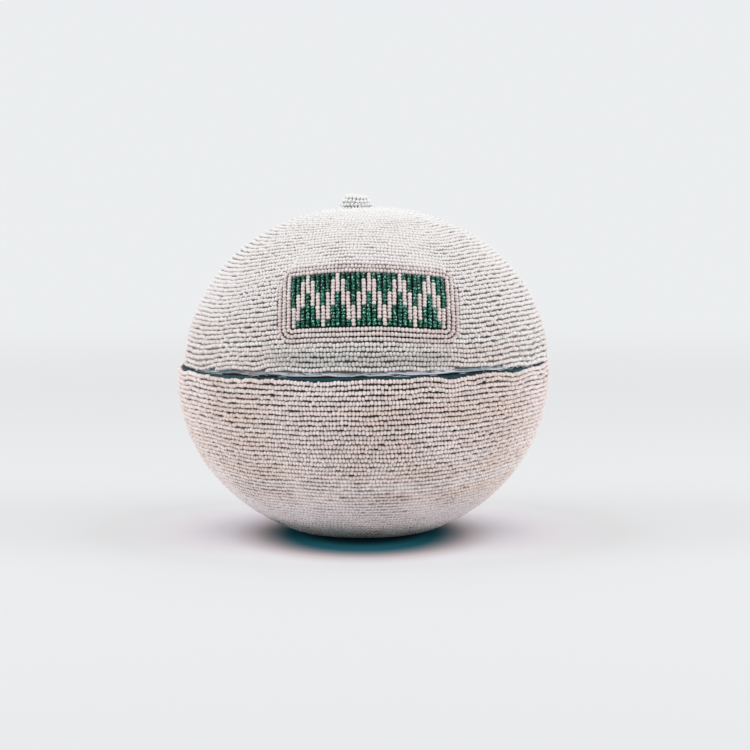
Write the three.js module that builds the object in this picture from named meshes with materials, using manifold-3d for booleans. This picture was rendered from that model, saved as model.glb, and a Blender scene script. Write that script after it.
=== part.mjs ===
// A lidded shrine bowl. A dried gourd is cut into a bowl and a lid, each half is covered in cotton,
// and strings of glass seed beads are sewn on it in level rows. A collar inside the lid drops into the
// bowl's mouth. The lid's front has a beaded panel of triangles, and a small beaded knob tops it.
// Millimetres, +Z up. The origin is the middle of the base, and the panel faces -Y.
import * as THREE from "three";
import { mergeVertices, toCreasedNormals } from "three/addons/utils/BufferGeometryUtils.js";
import Module from "manifold-3d";

// The gourd, measured outside the beads. Each half is a superellipse from its girth to its pole.
const GIRTH_R = 92.8;
const BOWL_DEPTH = 84.5; // below the girth, before the base is flattened
const BASE_TRIM = 4.8; // how much of that depth the flat base takes off
const BOWL_FULLNESS = 2.03; // 2 is an ellipse, more is boxier
const LID_INSET = 1.6; // the lid's girth lies this far inside the bowl's
const LID_RISE = 82.6;
const LID_FULLNESS = 2.1;

// The cut between the halves.
const SEAM_RISE = 4.7; // its height above the girth
const SEAM_GAP = 0.3; // between the two rims
const SEAM_LEAN = THREE.MathUtils.degToRad(1.0); // the hand-sawn cut rises towards +X
const LEAN_REACH = 75; // the lean dies away this far above and below the seam

// Layers, from the outside in.
const BEAD_D = 2.3;
const CLOTH = 0.7;
const GOURD_WALL = 5.0;
const GAP = 0.3; // between two pieces that lie against each other
const BASE_CLOTH = 1.6;

// Bead rows.
const ROW_SLACK = 0.13; // thread and play between two rows
const RIM_ROWS = 5;
const GROOVE = 0.9; // depth of the groove between two rows
const FOOT_LIFT = 0.3; // the lowest row clears the ground by this

// Rim binding and collar.
const LID_HEM = 2.05; // height of the binding that shows under the lid's beads
const BOWL_HEM = 0.7;
const BINDING_LEG = 12; // how far the binding reaches inside each half
const COLLAR_WALL = 1.8;
const COLLAR_DROP = 10;
const COLLAR_PLAY = 0.45; // left on the side where the collar leans on the bowl

// Knob, which stands off the lid's axis as the gourd's stem did.
const KNOB_X = -5;
const KNOB_RINGS = [8.4, 8.0, 7.3, 6.2]; // outer radius of each bead ring, from the foot up
const KNOB_NEST = 0.15; // each ring sinks this far into the one below
const KNOB_CORE_GAP = 0.45; // between the core and its rings
const KNOB_CORE_TOP = 0.9; // the core stops this far below the top ring's crown

// Panel on the lid: upright bead strings inside a border of three strings.
const PANEL_RISE = 36.2; // height of its middle above the cut
const PANEL_TURN = THREE.MathUtils.degToRad(1.1);
const PANEL_BOW = 1.75; // the sewing bows the top of its field up by this
const PANEL_BOW_X = -6; // where the bow is highest
const PANEL_BOW_R = 208;
const PANEL_BOW_FOOT = 0.6; // the share of the bow along the foot of the field
const PANEL_STRINGS = 31;
const PANEL_SLACK = 0.17;
const BEAD_LENGTH = 1.75;
const PANEL_BEADS = 16; // beads in one upright string
const BORDER_CORNER = 1.8; // corner radius of the inner border string
const LOWER_BORDER_ENDS = 23; // the lower border string runs up this far beside the field
const TOOTH_BEADS = [10, 6, 2]; // beads in a tooth's strings, from its middle string outwards

// Facets.
const FACETS = 20;
const LAYER_STEPS = 5;
const STRING_SIDES = 6;
const CORNER_STEPS = 3;
const BORDER_STEPS = [6, 3]; // along the border's level and upright sides
const KNOB_FACETS = 12;
const CREASE = THREE.MathUtils.degToRad(35);

const girthZ = BOWL_DEPTH - BASE_TRIM;
const seamZ = girthZ + SEAM_RISE;
const beadR = BEAD_D / 2;
const rowPitch = BEAD_D + ROW_SLACK;
const panelPitch = BEAD_D + PANEL_SLACK;

// How far each layer's faces lie under the beads' outer surface.
const depth = { bead: BEAD_D, clothOut: BEAD_D + GAP };
depth.clothIn = depth.clothOut + CLOTH;
depth.gourdOut = depth.clothIn + GAP;
depth.gourdIn = depth.gourdOut + GOURD_WALL;
depth.legOut = depth.gourdIn + GAP;
depth.legIn = depth.legOut + CLOTH;
depth.collarOut = depth.legIn + GAP;
depth.collarIn = depth.collarOut + COLLAR_WALL;
depth.hem = depth.clothOut - GAP - CLOTH;

const wasm = await Module();
wasm.setup();

// A half's outline from its rim to its pole, by length along the curve and depth under it.
class Outline {
  constructor(girthR, rise, fullness) {
    this.up = Math.sign(rise);
    const share = SEAM_RISE / rise;
    const start = Math.sign(share) * Math.asin(Math.abs(share) ** (fullness / 2));
    const samples = 600;
    const points = [];
    for (let i = 0; i <= samples; i++) {
      const t = start + ((Math.PI / 2 - start) * i) / samples;
      const sine = Math.sin(t);
      const r = girthR * Math.max(Math.cos(t), 0) ** (2 / fullness);
      const z = girthZ + rise * Math.sign(sine) * Math.abs(sine) ** (2 / fullness);
      points.push(new THREE.Vector2(r, z));
    }
    this.points = points;
    this.lengths = [0];
    for (let i = 1; i <= samples; i++)
      this.lengths.push(this.lengths[i - 1] + points[i].distanceTo(points[i - 1]));
    this.length = this.lengths[samples];
    this.inward = points.map((p, i) => {
      const a = points[Math.max(i - 1, 0)];
      const b = points[Math.min(i + 1, samples)];
      const along = b.clone().sub(a).normalize();
      return new THREE.Vector2(-along.y, along.x).multiplyScalar(this.up);
    });
    this.inward[samples].set(0, -this.up);
  }

  at(s, under) {
    const last = this.points.length - 1;
    let i = 0;
    for (let step = 1 << 9; step > 0; step >>= 1)
      if (i + step < last && this.lengths[i + step] <= s) i += step;
    const share = (s - this.lengths[i]) / (this.lengths[i + 1] - this.lengths[i]);
    const spot = this.points[i].clone().lerp(this.points[i + 1], share);
    const inward = this.inward[i].clone().lerp(this.inward[i + 1], share).normalize();
    return spot.addScaledVector(inward, under);
  }

  // The length at which the curve at that depth reaches a height.
  reach(under, z) {
    let low = -BEAD_D;
    let high = this.length;
    for (let i = 0; i < 40; i++) {
      const middle = (low + high) / 2;
      if ((this.at(middle, under).y - z) * this.up < 0) low = middle;
      else high = middle;
    }
    return (low + high) / 2;
  }
}

const bowlOutline = new Outline(GIRTH_R, -BOWL_DEPTH, BOWL_FULLNESS);
const lidOutline = new Outline(GIRTH_R - LID_INSET, LID_RISE, LID_FULLNESS);

// Height of the flat base of the bowl's layer at a depth.
const floorOf = (under) => BASE_CLOTH + GAP + under - depth.clothOut;

// Rim heights of one half, from the seam plane inwards.
function rimOf(outline) {
  const side = outline.up;
  const face = seamZ + (side * SEAM_GAP) / 2;
  const hem = side > 0 ? LID_HEM : BOWL_HEM;
  return {
    face,
    under: face + side * CLOTH,
    seat: face + side * (CLOTH + GAP),
    firstRow: face + side * (hem + GAP + beadR),
    hemEnd: face + side * hem,
    legEnd: face + side * BINDING_LEG,
  };
}

// Where a layer's section has its corners, by length along the outline, from a height to the pole.
function cornersOf(outline, under, fromZ) {
  const start = outline.reach(under, rimOf(outline).legEnd);
  const end = outline.up < 0 ? outline.reach(under, floorOf(under)) : outline.length;
  const corners = [outline.reach(under, fromZ)];
  for (let i = 0; i <= LAYER_STEPS; i++) corners.push(start + ((end - start) * i) / LAYER_STEPS);
  return corners;
}

// A layer's line from a height to the axis. The bowl's ends in a flat base.
function layerLine(outline, under, fromZ) {
  const line = cornersOf(outline, under, fromZ).map((s) => outline.at(s, under));
  if (outline.up < 0) line.push(new THREE.Vector2(0, floorOf(under)));
  else line[line.length - 1].x = 0;
  return line;
}

// The back of a band of beads, which lies flat against the cotton's facets.
function backLine(outline, from, to) {
  const corners = cornersOf(outline, depth.clothOut, rimOf(outline).seat);
  const between = corners.filter((s) => s > from + GAP && s < to - GAP);
  return [from, ...between, to].map((s) => {
    const past = corners.findIndex((corner, i) => i > 0 && corner >= s);
    const i = past < 0 ? corners.length - 1 : past;
    const share = (s - corners[i - 1]) / (corners[i] - corners[i - 1]);
    return outline.at(corners[i - 1], depth.bead).lerp(outline.at(corners[i], depth.bead), share);
  });
}

// Turns a profile of radius and height about +Z. The profile runs round its section, either way.
function revolve(profile, facets = FACETS) {
  let area = 0;
  profile.forEach((p, i) => {
    const q = profile[(i + 1) % profile.length];
    area += p.x * q.y - q.x * p.y;
  });
  const line = area > 0 ? [...profile] : [...profile].reverse();
  const onAxis = line.findIndex((p, i) => p.x === 0 && line[(i + 1) % line.length].x === 0);
  const turned = line.map((_, i) => line[(i + onAxis + 1) % line.length]);
  if (onAxis < 0) turned.push(turned[0]);
  return new THREE.LatheGeometry(turned, facets).rotateX(Math.PI / 2);
}

function solidOf(geometry) {
  const bare = geometry.index ? geometry.toNonIndexed() : geometry.clone();
  bare.deleteAttribute("normal");
  bare.deleteAttribute("uv");
  const merged = mergeVertices(bare, 1e-3);
  const index = merged.index.array;
  const triVerts = [];
  for (let i = 0; i < index.length; i += 3) {
    const [a, b, c] = index.slice(i, i + 3);
    if (a !== b && b !== c && c !== a) triVerts.push(a, b, c);
  }
  return new wasm.Manifold(
    new wasm.Mesh({
      numProp: 3,
      vertProperties: merged.attributes.position.array,
      triVerts: new Uint32Array(triVerts),
    }),
  );
}

function geometryOf(solid) {
  const mesh = solid.getMesh();
  return new THREE.BufferGeometry()
    .setAttribute("position", new THREE.BufferAttribute(new Float32Array(mesh.vertProperties), 3))
    .setIndex(new THREE.BufferAttribute(new Uint32Array(mesh.triVerts), 1));
}

// The sawn cut leans, and what lies near it leans with it.
function leaning(geometry) {
  const place = geometry.attributes.position;
  for (let i = 0; i < place.count; i++) {
    const near = 1 - ((place.getZ(i) - seamZ) / LEAN_REACH) ** 2;
    if (near > 0) {
      const rise = Math.tan(SEAM_LEAN) * place.getX(i) * near * near;
      place.setZ(i, place.getZ(i) + rise);
    }
  }
  return toCreasedNormals(geometry, CREASE);
}

const material = (color, roughness) =>
  new THREE.MeshStandardMaterial({ color, roughness, metalness: 0 });
const gourdSkin = material(0xb98a55, 0.6);
const groundCotton = material(0x8d7f72, 0.95);
const paleBinding = material(0xb4bcc4, 0.95);
const darkBinding = material(0x2c5a5e, 0.8);
const lidBeads = material(0xe4dedb, 0.35);
const bowlBeads = material(0xd6c9c4, 0.35);
const panelBeads = material(0xdccdc9, 0.35);
const greenBeads = material(0x0d5f47, 0.25);

const bowl = new THREE.Group();
const lid = new THREE.Group();

function add(half, name, geometry, finish) {
  const mesh = new THREE.Mesh(leaning(geometry), finish);
  mesh.name = name;
  half.add(mesh);
}

// Gourd wall and cotton ground, which follow the outline.
function layer(outline, outer, inner, rimZ) {
  const out = layerLine(outline, outer, rimZ);
  const back = layerLine(outline, inner, rimZ).reverse();
  return revolve([...out, ...back]);
}

// A strip folded over the rim: a short hem outside, a cap, and a long leg inside.
function binding(outline) {
  const rim = rimOf(outline);
  const at = (under, z) => new THREE.Vector2(outline.at(outline.reach(under, z), under).x, z);
  const hem = Math.abs(rim.hemEnd - rim.face) > CLOTH + GAP
    ? [at(depth.hem, rim.hemEnd), at(depth.hem + CLOTH, rim.hemEnd), at(depth.hem + CLOTH, rim.under)]
    : [at(depth.hem, rim.under)];
  return revolve([
    at(depth.hem, rim.face),
    ...hem,
    at(depth.legOut, rim.under),
    at(depth.legOut, rim.legEnd),
    at(depth.legIn, rim.legEnd),
    at(depth.legIn, rim.face),
  ]);
}

// Bead rows, counted from the rim. Each row stands out as a rib of the band it belongs to.
function rowsOf(outline, end) {
  const start = outline.reach(beadR, rimOf(outline).firstRow);
  const count = Math.floor((end - start) / rowPitch) + 1;
  const pitch = (end - start) / (count - 1);
  return { start, count, pitch };
}

function band(outline, rows, first, last) {
  const s = (row) => rows.start + row * rows.pitch;
  const from = s(first - 0.5) + GAP / 2;
  const to = s(last + 0.5) - GAP / 2;
  const outer = [outline.at(from, GROOVE)];
  for (let row = first; row <= last; row++) {
    outer.push(outline.at(s(row), 0));
    outer.push(outline.at(row < last ? s(row + 0.5) : to, GROOVE));
  }
  return revolve([...outer, ...backLine(outline, from, to).reverse()]);
}

// Shares a half's rows out among named bands: the rim's few rows, then even bands.
function bandsOf(rows, names) {
  const rest = rows.count - RIM_ROWS;
  const each = rest / (names.length - 1);
  return names.map((name, i) => ({
    name,
    first: i === 0 ? 0 : RIM_ROWS + Math.round(each * (i - 1)),
    last: (i === 0 ? RIM_ROWS : RIM_ROWS + Math.round(each * i)) - 1,
  }));
}

// Bowl.
const bowlRim = rimOf(bowlOutline);
add(bowl, "bowl_gourd", layer(bowlOutline, depth.gourdOut, depth.gourdIn, bowlRim.seat), gourdSkin);
add(bowl, "bowl_ground_cloth", layer(bowlOutline, depth.clothOut, depth.clothIn, bowlRim.seat), groundCotton);
add(bowl, "bowl_rim_binding", binding(bowlOutline), darkBinding);

const bowlRows = rowsOf(bowlOutline, bowlOutline.reach(beadR, beadR + FOOT_LIFT));
const bowlBands = [
  "bowl_rim_strings",
  "bowl_upper_strings",
  "bowl_middle_strings",
  "bowl_lower_strings",
  "bowl_underside_strings",
  "bowl_foot_strings",
];
for (const { name, first, last } of bandsOf(bowlRows, bowlBands))
  add(bowl, name, band(bowlOutline, bowlRows, first, last), bowlBeads);

// A disc of doubled cotton inside the lowest row, on which the bowl stands.
const footSpot = bowlOutline.at(bowlRows.start + (bowlRows.count - 0.5) * bowlRows.pitch, depth.bead);
const baseR = footSpot.x - GAP;
const baseDisc = [
  new THREE.Vector2(0, 0),
  new THREE.Vector2(baseR, 0),
  new THREE.Vector2(baseR, BASE_CLOTH),
  new THREE.Vector2(0, BASE_CLOTH),
];
add(bowl, "base_cloth", revolve(baseDisc), groundCotton);

// Lid.
const lidRim = rimOf(lidOutline);
add(lid, "lid_gourd", layer(lidOutline, depth.gourdOut, depth.gourdIn, lidRim.seat), gourdSkin);
add(lid, "lid_ground_cloth", layer(lidOutline, depth.clothOut, depth.clothIn, lidRim.seat), groundCotton);
add(lid, "lid_rim_binding", binding(lidOutline), paleBinding);

// The collar follows the lid's wall above the seam and drops straight into the bowl below it.
const collarAt = (under, z) => new THREE.Vector2(lidOutline.at(lidOutline.reach(under, z), under).x, z);
const collarTop = lidRim.legEnd;
const collarR = collarAt(depth.collarOut, lidRim.face).x;
const collarFoot = seamZ - COLLAR_DROP;
const collar = [
  new THREE.Vector2(collarR, collarFoot),
  collarAt(depth.collarOut, lidRim.face),
  collarAt(depth.collarOut, collarTop),
  collarAt(depth.collarIn, collarTop),
  collarAt(depth.collarIn, lidRim.face),
  new THREE.Vector2(collarR - COLLAR_WALL, collarFoot),
];
add(lid, "lid_collar", revolve(collar), paleBinding);

// The collar is narrower than the bowl's mouth, and the lid sits pushed over to +X.
const mouthR = bowlOutline.at(bowlOutline.reach(depth.legIn, collarFoot), depth.legIn).x;
lid.position.x = mouthR - collarR - COLLAR_PLAY;

// Knob: bead rings round a core of rolled cotton, standing on the lid's cotton.
const crownZ = lidOutline.at(lidOutline.length, depth.clothOut).y;
const ringZ = (ring) => crownZ + GAP + beadR + ring * (BEAD_D - KNOB_NEST);
const knobTop = ringZ(KNOB_RINGS.length - 1) + beadR;
KNOB_RINGS.forEach((outerR, ring) => {
  const loop = new THREE.TorusGeometry(outerR - beadR, beadR, STRING_SIDES, KNOB_FACETS);
  loop.translate(KNOB_X, 0, ringZ(ring));
  add(lid, "knob_string_" + (ring + 1), loop, lidBeads);
});
const coreLine = KNOB_RINGS.map(
  (outerR, ring) => new THREE.Vector2(outerR - BEAD_D - KNOB_CORE_GAP, ringZ(ring)),
);
const core = [
  new THREE.Vector2(0, crownZ + GAP),
  new THREE.Vector2(coreLine[0].x, crownZ + GAP),
  ...coreLine,
  new THREE.Vector2(coreLine[coreLine.length - 1].x, knobTop - KNOB_CORE_TOP),
  new THREE.Vector2(0, knobTop - KNOB_CORE_TOP),
];
add(lid, "knob_core", revolve(core, KNOB_FACETS).translate(KNOB_X, 0, 0), groundCotton);

const fieldW = PANEL_STRINGS * panelPitch;
const fieldH = PANEL_BEADS * BEAD_LENGTH;

// The panel's own frame, u to the right and v up in millimetres, bowed and laid on the lid's outline.
const panelS = lidOutline.reach(0, seamZ + PANEL_RISE);
const panelR = lidOutline.at(panelS, 0).x;
function onPanel(u, v, under) {
  const bow = PANEL_BOW - (u - PANEL_BOW_X) ** 2 / (2 * PANEL_BOW_R);
  const share = (1 + PANEL_BOW_FOOT) / 2 + (1 - PANEL_BOW_FOOT) * (v / fieldH);
  const s = panelS + v + share * bow;
  const spot = lidOutline.at(s, under);
  const turn = PANEL_TURN + u / lidOutline.at(s, 0).x;
  return new THREE.Vector3(spot.x * Math.sin(turn), -spot.x * Math.cos(turn), spot.y);
}

// A rounded rectangle about the field, grown by a distance: its outline from the upper right corner.
function roundedFrame(grown, radius) {
  const points = [];
  const halfW = fieldW / 2 + grown;
  const halfH = fieldH / 2 + grown;
  const corners = [[1, 1], [-1, 1], [-1, -1], [1, -1]];
  corners.forEach(([x, y], corner) => {
    for (let i = 0; i <= CORNER_STEPS; i++) {
      const turn = (corner + i / CORNER_STEPS) * (Math.PI / 2);
      const u = x * (halfW - radius) + radius * Math.cos(turn);
      points.push([u, y * (halfH - radius) + radius * Math.sin(turn)]);
    }
    const level = corner % 2 === 0;
    const steps = BORDER_STEPS[corner % 2];
    for (let i = 1; i < steps; i++) {
      const share = 1 - (2 * i) / steps;
      const spot = level
        ? [x * (halfW - radius) * share, y * halfH]
        : [x * halfW, y * (halfH - radius) * share];
      points.push(spot);
    }
  });
  return points;
}

function meshOf(vertices, faces) {
  const flat = vertices.flatMap((v) => [v.x, v.y, v.z]);
  return new THREE.BufferGeometry()
    .setAttribute("position", new THREE.BufferAttribute(new Float32Array(flat), 3))
    .setIndex(faces);
}

// A bead string that lies on the lid along a path, closed on itself or with two ends.
function stringAlong(path, closed) {
  const r = beadR - PANEL_SLACK / 4;
  const vertices = [];
  const faces = [];
  const count = path.length;
  path.forEach(([u, v], i) => {
    const [ua, va] = closed ? path[(i + count - 1) % count] : path[Math.max(i - 1, 0)];
    const [ub, vb] = closed ? path[(i + 1) % count] : path[Math.min(i + 1, count - 1)];
    const along = Math.hypot(ub - ua, vb - va);
    const side = [(vb - va) / along, (ua - ub) / along];
    for (let j = 0; j < STRING_SIDES; j++) {
      const turn = ((j + 0.5) / STRING_SIDES) * 2 * Math.PI;
      const out = r * Math.cos(turn);
      vertices.push(onPanel(u + side[0] * out, v + side[1] * out, beadR - r * Math.sin(turn)));
      if (!closed && i === count - 1) continue;
      const next = (i + 1) % count;
      const k = (j + 1) % STRING_SIDES;
      const [a, b] = [i * STRING_SIDES + j, i * STRING_SIDES + k];
      const [c, d] = [next * STRING_SIDES + j, next * STRING_SIDES + k];
      faces.push(a, c, b, b, c, d);
    }
  });
  if (!closed) {
    const last = (count - 1) * STRING_SIDES;
    for (let j = 2; j < STRING_SIDES; j++) {
      faces.push(0, j - 1, j);
      faces.push(last, last + j, last + j - 1);
    }
  }
  return meshOf(vertices, faces);
}

// Two strings go all round the field, and a third runs below them and up both sides.
const borderFrame = (order, extra) =>
  roundedFrame(GAP + (order + 0.5) * panelPitch + extra, BORDER_CORNER + order * panelPitch + extra);
const lowerEnd = LOWER_BORDER_ENDS - fieldH / 2;
const lowerPart = (frame, end) => {
  const kept = frame.filter(([, v]) => v < end);
  return [[kept[0][0], end], ...kept, [kept.at(-1)[0], end]];
};
add(lid, "panel_border_inner", stringAlong(borderFrame(0, 0), true), panelBeads);
add(lid, "panel_border_outer", stringAlong(borderFrame(1, 0), true), panelBeads);
add(lid, "panel_border_lower", stringAlong(lowerPart(borderFrame(2, 0), lowerEnd), false), panelBeads);

// The field's pattern: which piece holds each string between two marks of its height.
const marks = [0, ...[...TOOTH_BEADS].reverse(), PANEL_BEADS];
TOOTH_BEADS.forEach((beads) => marks.push(PANEL_BEADS - beads));
const levels = [...new Set(marks)].sort((a, b) => a - b);
const period = 2 * TOOTH_BEADS.length;
function pieceAt(string, level) {
  const fromLower = Math.abs((string % period) - TOOTH_BEADS.length);
  const fromUpper = TOOTH_BEADS.length - fromLower;
  const low = TOOTH_BEADS[fromLower] ?? 0;
  const high = TOOTH_BEADS[fromUpper] ?? 0;
  if (level < low) return "panel_tooth_lower_" + (Math.floor(string / period) + 1);
  if (level >= PANEL_BEADS - high)
    return "panel_tooth_upper_" + (Math.floor((string + TOOTH_BEADS.length) / period) + 1);
  return "panel_pale_strings";
}

// One piece of the field: its strings as ridges side by side, closed at the back and round its edge.
// A face between two pieces is split from the same corner in both, so that they lie face to face.
function fieldPiece(name) {
  const inside = (string, step) =>
    string >= 0 &&
    string < PANEL_STRINGS &&
    step >= 0 &&
    step < levels.length - 1 &&
    pieceAt(string, levels[step]) === name;
  const spots = new Map();
  const faces = [];
  const point = (half, step, under) => {
    const id = (half * levels.length + step) * 2 + (under === depth.bead ? 1 : 0);
    if (!spots.has(id)) {
      const u = (half / 2) * panelPitch - fieldW / 2;
      const v = levels[step] * BEAD_LENGTH - fieldH / 2;
      spots.set(id, onPanel(u, v, under));
    }
    return id;
  };
  const face = (...corners) => {
    const first = corners.indexOf(Math.min(...corners));
    const turned = [...corners.slice(first), ...corners.slice(0, first)];
    for (let i = 2; i < turned.length; i++) faces.push(turned[0], turned[i - 1], turned[i]);
  };
  const top = (half, step) => point(half, step, half % 2 ? 0 : GROOVE);
  const back = (half, step) => point(half, step, depth.bead);
  for (let string = 0; string < PANEL_STRINGS; string++)
    for (let low = 0; low < levels.length - 1; low++) {
      if (!inside(string, low)) continue;
      const [left, ridge, right, high] = [2 * string, 2 * string + 1, 2 * string + 2, low + 1];
      face(top(left, low), top(ridge, low), top(ridge, high), top(left, high));
      face(top(ridge, low), top(right, low), top(right, high), top(ridge, high));
      face(back(left, low), back(left, high), back(right, high), back(right, low));
      if (!inside(string - 1, low))
        face(top(left, low), top(left, high), back(left, high), back(left, low));
      if (!inside(string + 1, low))
        face(top(right, high), top(right, low), back(right, low), back(right, high));
      if (!inside(string, low - 1)) {
        face(back(left, low), back(right, low), top(right, low), top(left, low));
        face(top(left, low), top(right, low), top(ridge, low));
      }
      if (!inside(string, high)) {
        face(back(right, high), back(left, high), top(left, high), top(right, high));
        face(top(right, high), top(left, high), top(ridge, high));
      }
    }
  const ids = [...spots.keys()];
  return meshOf(ids.map((id) => spots.get(id)), faces.map((id) => ids.indexOf(id)));
}

const fieldNames = new Set();
for (let string = 0; string < PANEL_STRINGS; string++)
  for (let step = 0; step < levels.length - 1; step++) fieldNames.add(pieceAt(string, levels[step]));
for (const name of fieldNames) {
  const pale = name === "panel_pale_strings";
  add(lid, name, fieldPiece(name), pale ? panelBeads : greenBeads);
}

// Room for the panel: a block that runs through the bead rows, with the outline of a frame.
function panelBlock(frame) {
  const widest = Math.max(...frame.map(([u]) => u));
  const bulge = panelR * (1 - Math.cos(widest / panelR)) + BEAD_D;
  const flat = frame.map(([u, v]) => new THREE.Vector2(u, v));
  const count = frame.length;
  const faces = [];
  for (const [a, b, c] of THREE.ShapeUtils.triangulateShape(flat, [])) {
    faces.push(a, b, c);
    faces.push(count + a, count + c, count + b);
  }
  for (let i = 0; i < count; i++) {
    const next = (i + 1) % count;
    faces.push(i, count + i, count + next, i, count + next, next);
  }
  const outer = frame.map(([u, v]) => onPanel(u, v, -2 * bulge));
  const inner = frame.map(([u, v]) => onPanel(u, v, depth.gourdIn));
  return solidOf(meshOf([...outer, ...inner], faces));
}
const edge = beadR + GAP;
const lowerRoom = lowerPart(borderFrame(2, edge), lowerEnd + GAP);
const panelRoom = panelBlock(borderFrame(1, edge)).add(panelBlock(lowerRoom));

// Lid rows, with room for the panel and the knob.
const crownStop = lidOutline.length - KNOB_RINGS[0] - KNOB_X - rowPitch / 2;
const lidRows = rowsOf(lidOutline, crownStop);
const lidBands = [
  "lid_rim_strings",
  "lid_lower_strings",
  "lid_middle_strings",
  "lid_upper_strings",
  "lid_shoulder_strings",
  "lid_crown_strings",
];
const knobRoomR = KNOB_RINGS[0] + GAP;
const knobRoomH = 4 * BEAD_D;
const knobRoom = solidOf(
  new THREE.CylinderGeometry(knobRoomR, knobRoomR, knobRoomH, KNOB_FACETS)
    .rotateX(Math.PI / 2)
    .translate(KNOB_X, 0, crownZ),
);
for (const { name, first, last } of bandsOf(lidRows, lidBands)) {
  const rows = solidOf(band(lidOutline, lidRows, first, last));
  add(lid, name, geometryOf(rows.subtract(panelRoom).subtract(knobRoom)), lidBeads);
}

const vessel = new THREE.Group();
vessel.add(bowl, lid);
export default vessel;
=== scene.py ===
import math

import bmesh
import bpy
import numpy as np
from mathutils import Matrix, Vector


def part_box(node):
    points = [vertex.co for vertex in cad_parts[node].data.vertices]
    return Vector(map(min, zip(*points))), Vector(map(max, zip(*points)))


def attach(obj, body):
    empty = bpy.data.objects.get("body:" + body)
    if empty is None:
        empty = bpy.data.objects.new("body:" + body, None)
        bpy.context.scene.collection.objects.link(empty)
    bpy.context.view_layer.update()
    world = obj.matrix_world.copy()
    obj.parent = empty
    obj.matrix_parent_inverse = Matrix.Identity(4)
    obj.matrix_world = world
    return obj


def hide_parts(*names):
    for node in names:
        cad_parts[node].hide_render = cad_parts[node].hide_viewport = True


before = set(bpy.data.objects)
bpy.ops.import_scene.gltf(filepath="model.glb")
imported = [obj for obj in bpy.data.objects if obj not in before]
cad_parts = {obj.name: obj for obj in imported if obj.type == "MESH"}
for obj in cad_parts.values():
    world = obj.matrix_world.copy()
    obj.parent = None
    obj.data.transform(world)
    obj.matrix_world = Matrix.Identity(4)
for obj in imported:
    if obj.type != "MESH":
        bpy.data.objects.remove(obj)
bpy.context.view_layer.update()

# Lengths are in millimetres up to the mesh, which is in metres.
MM = 0.001
rng = np.random.default_rng(11)

# The vessel outside its beads. Each half is a superellipse from its girth to its pole.
GIRTH_R = 92.8
BOWL_DEPTH = 84.5
BASE_TRIM = 4.8
BOWL_FULLNESS = 2.03
LID_INSET = 1.6
LID_RISE = 82.6
LID_FULLNESS = 2.1
SEAM_RISE = 4.7
SEAM_GAP = 0.3
SEAM_LEAN = math.radians(1.0)
LEAN_REACH = 75
GIRTH_Z = BOWL_DEPTH - BASE_TRIM
SEAM_Z = GIRTH_Z + SEAM_RISE

# Beads and layers.
BEAD_R = 1.15
BEAD_LENGTH = 1.75
ROW_PITCH = 2.43
STRING_PITCH = 2.47
GAP = 0.3
CLOTH = 0.7
BASE_CLOTH = 1.6
CLOTH_OUT = 2.6
CLOTH_IN = CLOTH_OUT + CLOTH
GOURD_OUT = CLOTH_IN + GAP
GOURD_IN = GOURD_OUT + 5.0
LEG_OUT = GOURD_IN + GAP
LEG_IN = LEG_OUT + CLOTH
COLLAR_OUT = LEG_IN + GAP
COLLAR_IN = COLLAR_OUT + 1.8
HEM_OUT = CLOTH_OUT - GAP - CLOTH
LID_HEM = 2.05
BOWL_HEM = 0.7
BINDING_LEG = 12
COLLAR_DROP = 10
RIM_ROWS = 5
FOOT_LIFT = 0.3

# Knob and panel.
KNOB_X = -5
KNOB_RINGS = [8.4, 8.0, 7.3, 6.2]
KNOB_NEST = 0.3
PANEL_RISE = 36.2
PANEL_TURN = math.radians(1.1)
PANEL_BOW = 1.75
PANEL_BOW_X = -6
PANEL_BOW_R = 208
PANEL_BOW_FOOT = 0.6
PANEL_STRINGS = 31
PANEL_BEADS = 16
BORDER_CORNER = 1.8
LOWER_BORDER_ENDS = 23
TOOTH_BEADS = [10, 6, 2]
FIELD_W = PANEL_STRINGS * STRING_PITCH
FIELD_H = PANEL_BEADS * BEAD_LENGTH

LID_SHIFT = (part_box("lid_gourd")[0].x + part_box("lid_gourd")[1].x) / 2 / MM

# Sewing.
CLOSEST_ROWS = 2.14
LEAN_OF_BEADS = 0.5
RIM_STRING = 16
LIFT, DIP = 2, 3
# Lens-shaped gaps in the seam: turn and half width in degrees, the fold's lift and the row's dip.
SEAM_LENSES = [
    (-45.0, 3.0, 1.0, 0.2),
    (-32.5, 4.0, 1.1, 0.5),
    (-14.6, 6.0, 0.3, 0.9),
    (7.5, 9.0, 0.3, 0.35),
    (26.4, 4.0, 0.4, 1.6),
    (35.0, 1.8, 0.5, 0.4),
    (51.0, 3.0, 0.9, 0.2),
]


def smooth(share):
    """0 below 0, 1 above 1 and an even rise between them."""
    share = np.clip(share, 0, 1)
    return share * share * (3 - 2 * share)


def hump(x, middle, width):
    return np.exp(-(((x - middle) / width) ** 2))


def summed(steps):
    return np.concatenate([[0], np.cumsum(steps)])


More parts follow.
